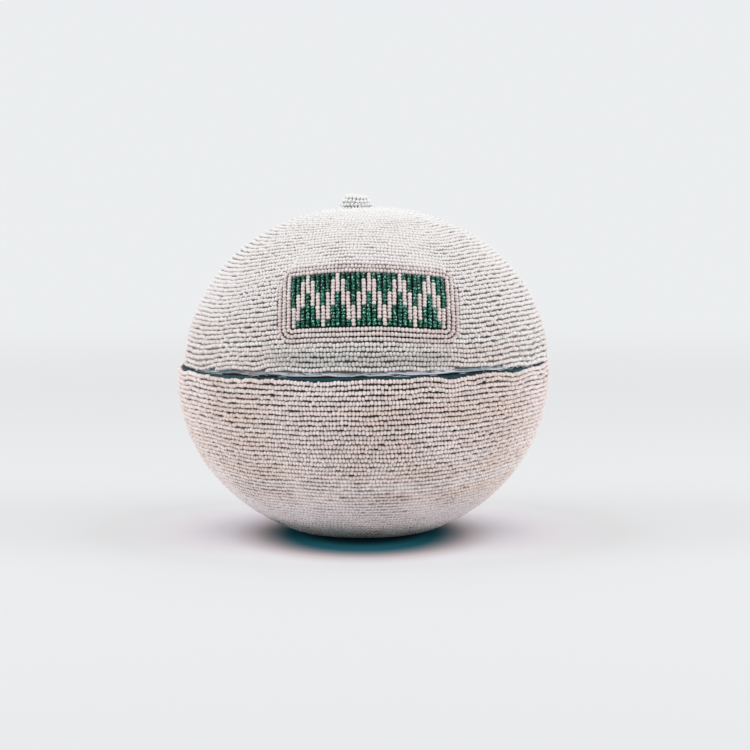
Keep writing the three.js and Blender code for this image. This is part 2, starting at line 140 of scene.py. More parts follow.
class Outline:
    """One half's outline from its rim to its pole, by length along it and depth under it."""

    def __init__(self, girth_r, rise, fullness):
        self.up = math.copysign(1, rise)
        share = SEAM_RISE / rise
        start = math.copysign(math.asin(abs(share) ** (fullness / 2)), share)
        turn = np.linspace(start, math.pi / 2, 2001)
        sine = np.sin(turn)
        self.r = girth_r * np.clip(np.cos(turn), 0, None) ** (2 / fullness)
        self.z = GIRTH_Z + rise * np.sign(sine) * np.abs(sine) ** (2 / fullness)
        self.s = summed(np.hypot(np.diff(self.r), np.diff(self.z)))
        self.length = self.s[-1]
        along_r, along_z = np.gradient(self.r, self.s), np.gradient(self.z, self.s)
        size = np.hypot(along_r, along_z)
        self.out_r = self.up * along_z / size
        self.out_z = -self.up * along_r / size

    def out(self, s):
        return np.interp(s, self.s, self.out_r), np.interp(s, self.s, self.out_z)

    def at(self, s, under):
        out_r, out_z = self.out(s)
        past = np.minimum(s, 0) * self.up
        r = np.interp(s, self.s, self.r) - under * out_r
        return r, np.interp(s, self.s, self.z) - under * out_z + past

    def reach(self, under, z):
        """The length at which the outline at that depth comes to a height."""
        return float(np.interp(z * self.up, (self.z - under * self.out_z) * self.up, self.s))

    def point(self, under, z):
        """The radius of the outline at that depth and height, with the height."""
        return float(self.at(self.reach(under, z), under)[0]), z


bowl = Outline(GIRTH_R, -BOWL_DEPTH, BOWL_FULLNESS)
lid = Outline(GIRTH_R - LID_INSET, LID_RISE, LID_FULLNESS)


def place(r, z, turn, shift):
    """Points at a radius, a height and a turn from the front, with the seam's lean."""
    x, y = r * np.sin(turn), -r * np.cos(turn)
    near = np.clip(1 - ((z - SEAM_Z) / LEAN_REACH) ** 2, 0, None)
    lift = math.tan(SEAM_LEAN) * x * near**2
    return np.stack([x + shift, y, z + lift], axis=-1)


def way_out(outline, s, turn):
    out_r, out_z = outline.out(s)
    return np.stack([out_r * np.sin(turn), -out_r * np.cos(turn), out_z], axis=-1)


# Materials. The heights and widths in them are in metres, and the seam lies at 0.084.
class Wire:
    """A socket's value in a node tree. Sums and products of it add Math nodes."""

    def __init__(self, shading, socket):
        self.shading = shading
        self.socket = socket

    def __add__(self, other):
        return self.shading.maths("ADD", self, other)

    def __sub__(self, other):
        return self.shading.maths("SUBTRACT", self, other)

    def __rsub__(self, other):
        return self.shading.maths("SUBTRACT", other, self)

    def __mul__(self, other):
        return self.shading.maths("MULTIPLY", self, other)

    __radd__ = __add__
    __rmul__ = __mul__

    def sine(self):
        return self.shading.maths("SINE", self)

    def absolute(self):
        return self.shading.maths("ABSOLUTE", self)

    def rise(self, low, high):
        """0 at low, 1 at high and an even rise between them."""
        sockets = {"Value": self, "From Min": low, "From Max": high}
        made = self.shading.node("MapRange", sockets, interpolation_type="SMOOTHSTEP")
        return Wire(self.shading, made.outputs["Result"])

    def fall(self, low, high):
        """1 at low, 0 at high and an even fall between them."""
        return 1 - self.rise(low, high)


class Shading:
    """The node tree of a material or of the sky, and the means to build in it."""

    def __init__(self, owner):
        owner.use_nodes = True
        self.tree = owner.node_tree
        self.tree.nodes.clear()

    def node(self, kind, sockets=None, **settings):
        """Any shader node: its settings are set first, then its sockets get values or links."""
        made = self.tree.nodes.new("ShaderNode" + kind)
        for key, value in settings.items():
            setattr(made, key, value)
        for key, value in (sockets or {}).items():
            self.feed(made.inputs[key], value)
        return made

    def feed(self, socket, value):
        if isinstance(value, Wire):
            value = value.socket
        if isinstance(value, bpy.types.NodeSocket):
            self.tree.links.new(value, socket)
        elif socket.type == "RGBA":
            socket.default_value = (*value, 1)
        else:
            socket.default_value = value

    def maths(self, operation, *values):
        made = self.node("Math", dict(enumerate(values)), operation=operation)
        return Wire(self, made.outputs[0])


class Finish(Shading):
    """A material with one Principled shader, and what feeds it."""

    def __init__(self, name, sockets):
        self.material = bpy.data.materials.new(name)
        super().__init__(self.material)
        self.shader = self.node("BsdfPrincipled", sockets)
        self.output = self.node("OutputMaterial", {"Surface": self.shader.outputs[0]})
        self.spot = self.node("TexCoord").outputs["Object"]

    def done(self, colour, roughness, height, distance):
        """Feeds the shader. The surface rises by a height of 0 to 1, over a distance in metres."""
        bump = self.node("Bump", {"Height": height, "Distance": distance, "Strength": 1.0})
        self.feed(self.shader.inputs["Base Color"], colour)
        self.feed(self.shader.inputs["Roughness"], roughness)
        self.feed(self.shader.inputs["Normal"], bump.outputs["Normal"])
        return self.material

    def attribute(self, name):
        return Wire(self, self.node("Attribute", attribute_name=name).outputs["Fac"])

    def noise(self, scale, detail=2.0, roughness=0.5, stretch=None):
        """Noise over the piece's own coordinates, which may be stretched first."""
        vector = self.spot
        if stretch:
            vector = self.node("Mapping", {"Vector": vector, "Scale": stretch}).outputs["Vector"]
        sockets = {"Vector": vector, "Scale": scale, "Detail": detail, "Roughness": roughness}
        return Wire(self, self.node("TexNoise", sockets).outputs["Fac"])

    def mix(self, share, low, high):
        """A colour between two."""
        sockets = {"Factor": share, 6: low, 7: high}
        return self.node("Mix", sockets, data_type="RGBA").outputs[2]

    def parts(self, vector):
        made = self.node("SeparateXYZ", {"Vector": vector})
        return [Wire(self, made.outputs[i]) for i in range(3)]


def pale_glass(name, main, warm, cool, dirt_and_shade, dirt_and_shade_from, ends=(), low_stain_and_shade=False):
    """Opaque glass beads whose strings differ in tone, with dirt and painted shade between them.

    Each of the ends has two heights, a colour that comes in between them, and the share of the dirt and
    painted shade that is left there. A low stain with painted shade lies over the front of the lid's lowest
    rows.
    """
    finish = Finish(name, {"Coat Weight": 0.25, "Coat Roughness": 0.15, "Specular IOR Level": 0.45})
    x, y, height = finish.parts(finish.spot)
    aside = x.absolute()
    tone = finish.attribute("tone")
    base = finish.mix(finish.noise(26).rise(0.35, 0.68), main, warm)
    base = finish.mix(finish.attribute("strand").rise(0.55, 1.0) * 0.6, base, cool)
    base = finish.mix(tone.rise(0.45, 1.0) * 0.5, base, tuple(0.66 * c for c in main))
    share = 0.08 + 0.92 * finish.noise(52, 3, 0.6).rise(0.40, 0.60)
    # Less of it at the vessel's sides: painted light, where the light wraps round them.
    share = share * (1 - aside.rise(0.045, 0.080) * 0.7)
    cloudy = height + finish.noise(18) * 0.012
    for low, high, colour, left in ends:
        there = cloudy.rise(low, high)
        base = finish.mix(there, base, colour)
        share = share * (1 - there * (1 - left))
    # Over the front of the lid's lowest rows: a stain that greys the beads, and painted shade that turns
    # the gaps between them near-black blue-green.
    if low_stain_and_shade:
        stain_and_shade = height.rise(0.084, 0.089) * height.fall(0.0995, 0.1035)
        stain_and_shade = stain_and_shade * aside.fall(0.034, 0.052) * y.fall(-0.06, -0.03)
        share = share + stain_and_shade * 1.1
        streak = height.rise(0.0885, 0.0905) * height.fall(0.0945, 0.0965)
        base = finish.mix(stain_and_shade * (0.1 + 0.3 * streak), base, (0.30, 0.31, 0.30))
        dirt_and_shade = finish.mix(stain_and_shade, dirt_and_shade, (0.012, 0.03, 0.03))
    # Each bead darkens towards its deep side, between the beads and the rows: partly dirt, partly painted
    # shade.
    grime_and_shade = finish.attribute("deep").rise(dirt_and_shade_from, 0.92) * share
    rough = 0.28 + 0.22 * tone + 0.25 * grime_and_shade
    return finish.done(finish.mix(grime_and_shade, base, dirt_and_shade), rough, finish.noise(900), 0.00008)


def green_glass():
    """Clear emerald beads: deep green, near black towards each bead's deep side as painted shade, with
    painted glints of bright green.
    """
    finish = Finish("green_glass", {"Coat Weight": 0.12, "Coat Roughness": 0.08, "Specular IOR Level": 0.2})
    tone = finish.attribute("tone")
    # clear is each bead's outward side; away from it the colour goes near black, painted shade.
    clear = finish.attribute("deep").fall(0.10, 0.40)
    # Painted glints: small bright green flecks.
    painted_glint = finish.noise(1300).rise(0.55, 0.65)
    body = finish.mix(clear, (0.0, 0.022, 0.017), (0.0, 0.065, 0.042))
    body = finish.mix(clear * tone.rise(0.2, 0.9) * 0.8, body, (0.004, 0.17, 0.105))
    body = finish.mix(clear * painted_glint * 0.9, body, (0.46, 0.86, 0.72))
    return finish.done(body, 0.1 + 0.15 * tone, finish.noise(900), 0.00022)


def cotton(name, main, worn, stain, thread=0.55, flat=False, faded=None, backing=None):
    """Plain-woven cotton with slubs, worn patches and stains.

    faded is its paler colour at the sides and the shoulder, painted light that lifts the shade between the
    beads there, and backing its colour behind the panel.
    """
    finish = Finish(name, {"Specular IOR Level": 0.2, "Sheen Weight": 0.25, "Sheen Roughness": 0.5})
    across, along, _ = finish.parts(finish.spot if flat else finish.node("TexCoord").outputs["UV"])
    step = math.pi / (thread * MM)
    warp = (across * step).sine() * (along * step).sine() * 0.5 + 0.5
    slub = finish.noise(420, 3, stretch=(1, 1, 6))
    base = finish.mix(finish.noise(70, 4).rise(0.35, 0.7), main, worn)
    base = finish.mix(finish.noise(30, 3).rise(0.55, 0.8) * 0.7, base, stain)
    base = finish.mix((1 - warp) * 0.45, base, tuple(0.55 * c for c in main))
    x, y, z = finish.parts(finish.spot)
    aside = x.absolute()
    # Paler at the sides and the shoulder: painted light.
    if faded:
        base = finish.mix(1 - z.fall(0.118, 0.142) * aside.fall(0.050, 0.086), base, faded)
    if backing:
        behind = aside.fall(0.042, 0.045) * y.fall(-0.06, -0.05)
        base = finish.mix(behind * z.rise(0.100, 0.103) * z.fall(0.134, 0.137), base, backing)
    return finish.done(base, 0.85 + 0.13 * slub, warp * 0.6 + slub * 0.8, 0.00022)


def hem_cotton(name, main, light, dark, fold, aside, sheen=0.3):
    """Soft cotton with creases along the strip and painted shade in them, a paler folded edge and another
    colour to the left.
    """
    finish = Finish(name, {"Specular IOR Level": 0.25, "Sheen Weight": sheen, "Sheen Roughness": 0.4})
    crease = finish.noise(1500, 3, 0.6, stretch=(0.16, 0.16, 1))
    fibre = finish.noise(2600, 2, stretch=(0.5, 0.5, 1))
    base = finish.mix(finish.noise(55).rise(0.40, 0.60), light, main)
    base = finish.mix(finish.parts(finish.spot)[0].rise(-0.066, -0.046), aside, base)
    # Painted shade in the creases.
    base = finish.mix(crease.fall(0.34, 0.56), base, dark)
    worn = 0.35 + 0.65 * finish.noise(60).rise(0.38, 0.56)
    base = finish.mix(finish.attribute("edge").rise(0.3, 0.9) * worn * 0.85, base, fold)
    return finish.done(base, 0.8 + 0.15 * fibre, crease * 0.8 + fibre * 0.3, 0.0004)


def gourd_wood():
    """Dried gourd: yellow-brown skin with streaks, mottling and scrape marks."""
    finish = Finish("gourd_wood", {"Specular IOR Level": 0.3})
    streak = finish.noise(160, 5, 0.6, stretch=(1, 1, 0.25))
    mottle = finish.noise(35, 4).rise(0.3, 0.7)
    pores = finish.noise(900).rise(0.55, 0.75)
    base = finish.mix(streak.rise(0.3, 0.7), (0.30, 0.155, 0.065), (0.56, 0.36, 0.18))
    base = finish.mix(mottle * 0.5, base, (0.40, 0.22, 0.10))
    base = finish.mix(pores * 0.5, base, (0.16, 0.08, 0.035))
    return finish.done(base, 0.55 + 0.25 * mottle, streak * 0.6 + pores * 0.5, 0.0005)


LID_GLASS = pale_glass(
    "lid_glass", (0.79, 0.75, 0.73), (0.78, 0.70, 0.675), (0.82, 0.815, 0.82), (0.24, 0.18, 0.16), 0.40,
    [
        (0.106, 0.122, (0.78, 0.74, 0.73), 0.8),
        (0.138, 0.156, (0.785, 0.76, 0.745), 0.85),
        (0.158, 0.170, (0.80, 0.795, 0.79), 0.25),
    ],
    low_stain_and_shade=True,
)
# Lower down the bowl's beads turn mauve with less darkening between them; from 17.5 mm down to 8.5 mm they
# turn a deep blue-grey with four times the darkening, painted shade where the bowl nears the floor.
BOWL_GLASS = pale_glass(
    "bowl_glass", (0.84, 0.735, 0.715), (0.78, 0.655, 0.605), (0.83, 0.775, 0.765), (0.12, 0.075, 0.06),
    0.36, [(0.036, 0.020, (0.83, 0.75, 0.77), 0.6), (0.0175, 0.0085, (0.26, 0.285, 0.29), 4.0)],
)
PANEL_GLASS = pale_glass(
    "panel_glass", (0.76, 0.68, 0.665), (0.72, 0.60, 0.58), (0.76, 0.69, 0.62), (0.20, 0.085, 0.07), 0.40
)
GREEN_GLASS = green_glass()
GROUND_COTTON = cotton(
    "ground_cotton", (0.09, 0.075, 0.068), (0.16, 0.125, 0.105), (0.01, 0.035, 0.04),
    faded=(0.34, 0.28, 0.27),
)
BASE_COTTON = cotton("base_cotton", (0.42, 0.37, 0.32), (0.52, 0.47, 0.41), (0.22, 0.17, 0.13), 0.8, True)
COLLAR_COTTON = cotton("collar_cotton", (0.46, 0.44, 0.42), (0.58, 0.56, 0.54), (0.26, 0.22, 0.18), 0.7)
LID_COTTON = cotton(
    "lid_ground_cotton", (0.22, 0.18, 0.165), (0.32, 0.27, 0.245), (0.05, 0.09, 0.09),
    faded=(0.60, 0.57, 0.56), backing=(0.006, 0.035, 0.026),
)
KNOB_COTTON = cotton("knob_cotton", (0.60, 0.50, 0.43), (0.66, 0.58, 0.52), (0.50, 0.24, 0.10), 0.5)
LID_HEM_COTTON = hem_cotton(
    "lid_hem_cotton", (0.26, 0.33, 0.37), (0.60, 0.61, 0.68), (0.05, 0.09, 0.12), (0.86, 0.88, 0.93),
    (0.09, 0.16, 0.18),
)
# The bowl's hem is near-black blue-green: painted shade of the seam's gap under the lid's fold.
BOWL_HEM_PAINTED_SHADE = hem_cotton(
    "bowl_hem_painted_shade", (0.003, 0.022, 0.032), (0.02, 0.09, 0.11), (0.001, 0.008, 0.012), (0.01, 0.05, 0.07),
    (0.03, 0.08, 0.09), 0.05,
)
THREAD_COTTON = hem_cotton(
    "thread_cotton", (0.72, 0.72, 0.74), (0.86, 0.86, 0.88), (0.5, 0.5, 0.53), (0.9, 0.9, 0.9),
    (0.7, 0.7, 0.7),
)
RUST_COTTON = hem_cotton(
    "rust_cotton", (0.55, 0.20, 0.10), (0.70, 0.34, 0.18), (0.22, 0.08, 0.05), (0.6, 0.3, 0.2),
    (0.36, 0.16, 0.11),
)
GOURD_WOOD = gourd_wood()


def put_in_scene(name, data):
    thing = bpy.data.objects.new(name, data)
    bpy.context.scene.collection.objects.link(thing)
    return thing


def finished(mesh, body, material, slot, *nodes):
    """Puts a mesh in the scene as a piece that rides on a body and stands for CAD nodes."""
    mesh.materials.append(material)
    piece = put_in_scene(mesh.name, mesh)
    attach(piece, body)
    if nodes:
        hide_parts(*nodes)
    return piece


def mesh_of(bm, name, smooth_to=None):
    mesh = bpy.data.meshes.new(name)
    bm.to_mesh(mesh)
    bm.free()
    mesh.shade_smooth()
    if smooth_to:
        mesh.set_sharp_from_angle(angle=math.radians(smooth_to))
    return mesh


def turned(bm, geometry, axis, steps):
    """Turns a line once round an axis through the origin."""
    bmesh.ops.spin(
        bm, geom=geometry, cent=(0, 0, 0), axis=axis, angle=math.tau, steps=steps, use_merge=True
    )


def mark(mesh, name, values):
    """Gives each of a mesh's points a number that its material reads."""
    attribute = mesh.attributes.new(name, "FLOAT", "POINT")
    attribute.data.foreach_set("value", values.astype(np.float32))


def points_of(mesh):
    co = np.zeros(len(mesh.vertices) * 3)
    mesh.vertices.foreach_get("co", co)
    return co.reshape(-1, 3)


def set_points(mesh, points):
    mesh.vertices.foreach_set("co", np.ascontiguousarray(points, dtype=np.float32).ravel())
    mesh.update()


# Beads. They differ in length and girth, and lean and lie unevenly on their string.
BEAD_SIDES = 7
BEAD_FILL = 0.485  # half a bead's length, as a share of its place on the string
LENGTH_SPREAD = 0.11
GIRTH_SPREAD = 0.045
LEAN_SPREAD = 0.35
DIRT_AND_SHADE_TILT = 0.95  # how far the dirt and painted shade turn round a bead, towards each row's lower side, where the rows slope, in radians


def one_bead():
    """A bead that lies along X, two units long and two across, with its outward side at +Z."""
    bm = bmesh.new()
    profile = [(-1, 0.38), (-0.76, 0.79), (0, 1), (0.76, 0.79), (1, 0.38)]
    line = [bm.verts.new((x, 0, r)) for x, r in profile]
    edges = [bm.edges.new(pair) for pair in zip(line, line[1:])]
    turned(bm, line + edges, (1, 0, 0), BEAD_SIDES)
    ends = [edge for edge in bm.edges if edge.is_boundary]
    bmesh.ops.holes_fill(bm, edges=ends, sides=BEAD_SIDES)
    bmesh.ops.recalc_face_normals(bm, faces=bm.faces)
    return mesh_of(bm, "bead")


BEAD = one_bead()
BEAD_POINTS = points_of(BEAD)


def beads_mesh(name, count):
    """A mesh of that many beads, all in one place."""
    bm = bmesh.new()
    bm.from_mesh(BEAD)
    have = 1
    while have < count:
        bmesh.ops.duplicate(bm, geom=bm.verts[:] + bm.edges[:] + bm.faces[:])
        have *= 2
    bm.verts.ensure_lookup_table()
    bmesh.ops.delete(bm, geom=bm.verts[count * len(BEAD_POINTS):], context="VERTS")
    return mesh_of(bm, name)


def unit(vectors):
    return vectors / np.linalg.norm(vectors, axis=-1, keepdims=True)


def marks_of(line):
    """The length along a line at each of its points."""
    return summed(np.linalg.norm(np.diff(line, axis=0), axis=1))


def along_line(line, marks, at):
    return np.stack([np.interp(at, marks, way) for way in line.T], axis=-1)


class Strings:
    """Strings of beads that are sewn side by side and make one piece."""

    def __init__(self):
        self.spots = []

    def lay(self, line, outs, closed, width=1.0, lean=0.0, play=0.07, tight=0.0):
        """Strings beads along a line of points, whose outward sides are given.

        width is their girth against a plain bead's, lean how much they lean at the vessel's sides, play
        how loosely they lie, and tight how closely they are pressed, from 0 to 1.
        """
        if closed:
            first = int(rng.integers(len(line)))
            ring = np.r_[first:len(line), :first + 1]
            line, outs = line[ring], outs[ring]
        marks = marks_of(line)
        count = max(1, round(marks[-1] / BEAD_LENGTH))
        sizes = rng.normal(1, LENGTH_SPREAD, count).clip(0.78, 1.25)
        ends = summed(sizes) * marks[-1] / sizes.sum()
        middle = (ends[1:] + ends[:-1]) / 2
        spot = along_line(line, marks, middle)
        ahead = along_line(line, marks, ends[1:]) - along_line(line, marks, ends[:-1])
        out = unit(along_line(outs, marks, middle))
        aside = smooth((np.abs(np.arctan2(spot[:, 0], -spot[:, 1])) - 0.35) / 0.55)
        tilt = (lean * aside * rng.normal(1, LEAN_SPREAD, count))[:, None]
        play = play * (1 + 0.5 * aside[:, None])
        ahead = unit(unit(ahead) + tilt * np.cross(ahead, out) + play * rng.normal(0, 1, (count, 3)))
        out = unit(out - (out * ahead).sum(1, keepdims=True) * ahead)
        loose = play * (1 - 0.5 * tight) * rng.normal(0, 1, (count, 2))
        spot = spot + out * loose[:, :1] + np.cross(out, ahead) * loose[:, 1:]
        girth = rng.normal(width, GIRTH_SPREAD, count).clip(0.88 * width, 1.06 * width)
        half = np.diff(ends) * (BEAD_FILL + 0.09 * tight - 0.045 * aside)
        half = np.stack([half, girth * BEAD_R, girth * BEAD_R], axis=-1)
        tone = rng.random(count)
        strand = np.full(count, rng.random())
        self.spots.append((spot, ahead, np.cross(out, ahead), out, half, tone, strand))

    def piece(self, name, body, material, slot):
        spot, ahead, side, out, half, tone, strand = (np.concatenate(part) for part in zip(*self.spots))
        mesh = beads_mesh(name, len(spot))
        shape = BEAD_POINTS[None] * half[:, None]
        points = spot[:, None] + sum(
            shape[:, :, k, None] * axis[:, None] for k, axis in enumerate([ahead, side, out])
        )
        set_points(mesh, points.reshape(-1, 3) * MM)
        corners = len(BEAD_POINTS)
        # The deep side, which the material darkens with dirt and painted shade, turns towards each row's
        # lower side where the rows slope.
        slope = smooth((out[:, 2] - 0.42) / 0.35) - smooth((-out[:, 2] - 0.40) / 0.30)
        low_side = DIRT_AND_SHADE_TILT * slope
        _, aside, high = BEAD_POINTS.T
        raised = np.outer(np.cos(low_side), high) + np.outer(np.sin(low_side), aside)
        mark(mesh, "tone", np.repeat(tone, corners))
        mark(mesh, "strand", np.repeat(strand, corners))
        mark(mesh, "deep", 0.5 - 0.5 * raised.ravel())
        finished(mesh, body, material, slot, name)


class Ripple:
    """A seeded smooth wave round the vessel, which changes from row to row."""

    def __init__(self, size, least, most, drift, count=14):
        self.turns = rng.integers(least, most, count)
        self.drift = rng.normal(0, drift, count)
        self.phase = rng.uniform(0, math.tau, count)
        self.size = size * math.sqrt(2 / count)

    def at(self, turn, s):
        phase = np.multiply.outer(turn, self.turns) + np.multiply.outer(s, self.drift) + self.phase
        return self.size * np.sin(phase).sum(-1)


TURNS = np.linspace(-math.pi, math.pi, 1400, endpoint=False)

# Small waves of the rows, in millimetres along the outline.
slow_wave = Ripple(0.24, 3, 16, 0.06)
row_wave = Ripple(0.12, 12, 70, 2.2, 24)
row_kink = Ripple(0.08, 80, 220, 3.1, 24)
rim_wave = Ripple(0.30, 6, 24, 0.12)

PANEL_S = lid.reach(0, SEAM_Z + PANEL_RISE)
PANEL_R = float(lid.at(PANEL_S, 0)[0])
PANEL_TOP = PANEL_S + FIELD_H / 2 + GAP + 2 * STRING_PITCH
PANEL_FOOT = PANEL_S - FIELD_H / 2 - GAP - 3 * STRING_PITCH
PANEL_SIDE = FIELD_W / 2 + GAP + 2 * STRING_PITCH

# How far the rows stray from level, in millimetres along the outline.
LEFT_HANG = 8.8  # the lid's rows hang low at the left of the panel
LEFT_REACH = 33
RIGHT_CLIMB = 2.6
RIGHT_REACH = 44
SEAM_SHARE = 0.38  # the share of the lid's drift that is left at the seam
TOP_FADE = 62  # the drift dies away this far above the panel
BOWL_RIGHT_CLIMB = 6.4
BOWL_LEFT_CLIMB = 4.6
BOWL_SHARE = ([0, 50, 75, bowl.length], [0.05, 1, 1, 0])
FRONT_END = math.radians(105)
FRONT_FADE = math.radians(60)


def front(turn):
    """1 over the front and sides and 0 behind."""
    return 1 - smooth((np.abs(turn) - FRONT_END) / FRONT_FADE)


def bow(u):
    return PANEL_BOW - (u - PANEL_BOW_X) ** 2 / (2 * PANEL_BOW_R)


def bow_share(v):
    return (1 + PANEL_BOW_FOOT) / 2 + (1 - PANEL_BOW_FOOT) * v / FIELD_H


def lid_sway(turn, level):
    """The lid's rows bow over the panel and hang low at its left, less so towards the seam and the top."""
    u = PANEL_R * (turn - PANEL_TURN)
    aside = np.abs(u) - PANEL_SIDE
    left = bow(-PANEL_SIDE) - LEFT_HANG * np.tanh(aside / LEFT_REACH)
    right = bow(PANEL_SIDE) + RIGHT_CLIMB * smooth(aside / RIGHT_REACH)
    drift = np.where(aside < 0, bow(u), np.where(u < 0, left, right)) * front(turn)
    foot, top = bow_share(PANEL_FOOT - PANEL_S), bow_share(PANEL_TOP - PANEL_S)
    share = np.interp(level, [0, PANEL_FOOT, PANEL_TOP], [SEAM_SHARE, foot, top])
    return share * (1 - smooth((level - PANEL_TOP) / TOP_FADE)) * drift


def lenses(turn, which):
    """The fold's lift or the row's dip at the gaps in the seam."""
    return sum(lens[which] * hump(turn, *np.radians(lens[:2])) for lens in SEAM_LENSES)


def bowl_sway(turn, level):
    """The bowl's rows climb towards both sides, most at half its depth."""
    right = BOWL_RIGHT_CLIMB * smooth((turn - 0.15) / 1.15)
    left = BOWL_LEFT_CLIMB * smooth((-turn - 0.35) / 1.1)
    return -(right + left) * np.interp(level, *BOWL_SHARE) * front(turn)


# Rows at a rim, in millimetres.
DROP_FROM, DROP_OVER = 0.22, 0.56  # the part of a pitch over which a row is dropped
SETTLE_FADE = 9
LID_OVER_HEM = 2.0
RIM_FADE = 7  # the rim's waves and dips die away over this
HIDING_FADE = 5
BOWL_CLIP = 0.35  # no bowl row lies further over the rim than this
TUCK_FROM, TUCK_DEPTH = 0.2, 1.7
TUCK_END = 1.3  # a row that would lie further over the rim than this has ended
NO_ROW = -9.0


def settled(turn, level, start, pitch, sway):
    """Rows that would sink past the rim are dropped there, and the next ones settle in their place."""
    hidden = -sway(turn, start) / pitch
    whole = np.floor(hidden)
    dropped = whole + smooth((hidden - whole - DROP_FROM) / DROP_OVER)
    return (hidden - dropped) * pitch * math.exp((start - level) / SETTLE_FADE)


def over_hem(turn, on_lid):
    """How far a half's first row hides the hem: at both sides and a little behind."""
    if on_lid:
        reach = LID_OVER_HEM * smooth((np.abs(turn + 0.06) - 0.72) / 0.30)
    else:
        reach = 0.4 + 0.6 * smooth((np.abs(turn) - 0.95) / 0.3)
    return reach * (0.4 + 0.6 * front(turn))


def row_gaps(outline, rows, many):
    """Places where two rows part and the cotton shows: row, turn, half width and size."""
    start, count, pitch = rows
    spots = []
    for _ in range(many):
        row = int(rng.integers(0, count - 1))
        r = float(outline.at(start + row * pitch, 0)[0])
        width, size = rng.uniform(0.5, 1.5), rng.uniform(0.15, 0.42)
        spots.append((row, rng.uniform(-math.pi, math.pi), width / max(r, 10), size))
    return spots


def rows_of(outline, end):
    """A half's first row by its length along the outline, the count of rows and their pitch."""
    side = outline.up
    hem = LID_HEM if side > 0 else BOWL_HEM
    face = SEAM_Z + side * SEAM_GAP / 2
    start = outline.reach(BEAD_R, face + side * (hem + GAP + BEAD_R))
    count = math.floor((end - start) / ROW_PITCH) + 1
    return start, count, (end - start) / (count - 1)


def bands_of(count, names):
    """Each band's name, with its first row and the row after its last."""
    each = (count - RIM_ROWS) / (len(names) - 1)
    stops = [0] + [RIM_ROWS + math.floor(each * i + 0.5) for i in range(len(names))]
    return list(zip(names, zip(stops, stops[1:])))


def runs(kept):
    """The stretches of a ring that are kept, each as indices in order."""
    if kept.all():
        return [(np.arange(len(kept)), True)]
    order = np.roll(np.arange(len(kept)), -int(np.argmin(kept)))
    stretches = np.split(order, np.flatnonzero(np.diff(kept[order])) + 1)
    return [(run, False) for run in stretches if kept[run[0]]]


EDGE_PLAY = 0.08
EDGE_FADE = 25
TIGHT_FROM, TIGHT_OVER = 42, 14  # beads are pressed closer this far from the seam in height


def levels_of(rows, edges):
    """Each row's length along the outline, moved a little so that rows lie close along the edges."""
    start, count, pitch = rows
    levels = start + pitch * np.arange(count)
    marks, moves = [start], [0.0]
    for edge, side in edges:
        wanted = edge + side * (BEAD_R + EDGE_PLAY)
        nearest = levels[np.argmin(np.abs(levels - wanted))]
        marks.append(nearest)
        moves.append(wanted - nearest)
    return levels + np.interp(levels, marks + [marks[-1] + EDGE_FADE], moves + [0.0])


def lay_rows(outline, rows, levels, bands, sway, gaps, fit, clear):
    """Lays a half's rows from its rim up or down, and gives each band's strings.

    fit moves a row off other pieces, and clear says where it may have beads.
    """
    start, _, pitch = rows
    on_lid = outline is lid
    shift = LID_SHIFT if on_lid else 0.0
    below = np.full(len(TURNS), NO_ROW)
    over = over_hem(TURNS, on_lid)
    edge = start - over
    for name, band in bands:
        strings = Strings()
        for row in range(*band):
            level = levels[row]
            r, height = outline.at(level, BEAD_R)
            tight = float(smooth((abs(height - SEAM_Z) - TIGHT_FROM) / TIGHT_OVER))
            at_rim = hump(level, start, RIM_FADE)
            s = level + sway(TURNS, level) + settled(TURNS, level, start, pitch, sway)
            s = s - over * hump(np.maximum(s, start), start, HIDING_FADE)
            if not on_lid:
                s = s + lenses(TURNS, DIP) * at_rim
            s = s + slow_wave.at(TURNS, level) + rim_wave.at(TURNS, level) * at_rim
            small = row_wave.at(TURNS, level) + row_kink.at(TURNS, level)
            s = s + small * (0.7 + 0.5 * np.sin(TURNS) ** 2)
            for parted, turn, width, size in gaps:
                if parted in (row, row - 1):
                    s = s + size * hump(TURNS, turn, width) * (1 if parted == row - 1 else -1)
            if not on_lid:
                s = np.maximum(s, edge - BOWL_CLIP)
            s = fit(TURNS, np.maximum(s, below + CLOSEST_ROWS))
            below = s
            tucked = smooth(edge - TUCK_FROM - s)
            radius, z = outline.at(s, BEAD_R + TUCK_DEPTH * tucked)
            line, outs = place(radius, z, TURNS, shift), way_out(outline, s, TURNS)
            shortest = RIM_STRING if level - start < 3 * pitch else BEAD_LENGTH
            for run, closed in runs(clear(TURNS, s, line) & (s > edge - TUCK_END)):
                if len(run) * math.tau * r / len(TURNS) > shortest:
                    strings.lay(line[run], outs[run], closed, 1.03, LEAN_OF_BEADS, 0.11, tight)
        yield name, strings


def sew(half, outline, end, edges, bands, gap_count, sway, fit, clear, glass):
    """Sews a half's rows of beads up to the length where they end, and makes each band a piece."""
    rows = rows_of(outline, end)
    levels = levels_of(rows, edges)
    gaps = row_gaps(outline, rows, gap_count)
    bands = bands_of(rows[1], [f"{half}_{band}_strings" for band in bands])
    for name, strings in lay_rows(outline, rows, levels, bands, sway, gaps, fit, clear):
        strings.piece(name, half, glass, f"{half}_beads")


# The panel's own frame, u to the right and v up, bowed and laid on the lid.
def panel_line(u, v):
    """Points under the beads' middles, and the way out of the lid there."""
    u, v = np.broadcast_arrays(np.asarray(u, float), np.asarray(v, float))
    s = PANEL_S + v + bow_share(v) * bow(u)
    turn = PANEL_TURN + u / lid.at(s, 0)[0]
    s = s + slow_wave.at(turn, s)
    return place(*lid.at(s, BEAD_R), turn, LID_SHIFT), way_out(lid, s, turn)


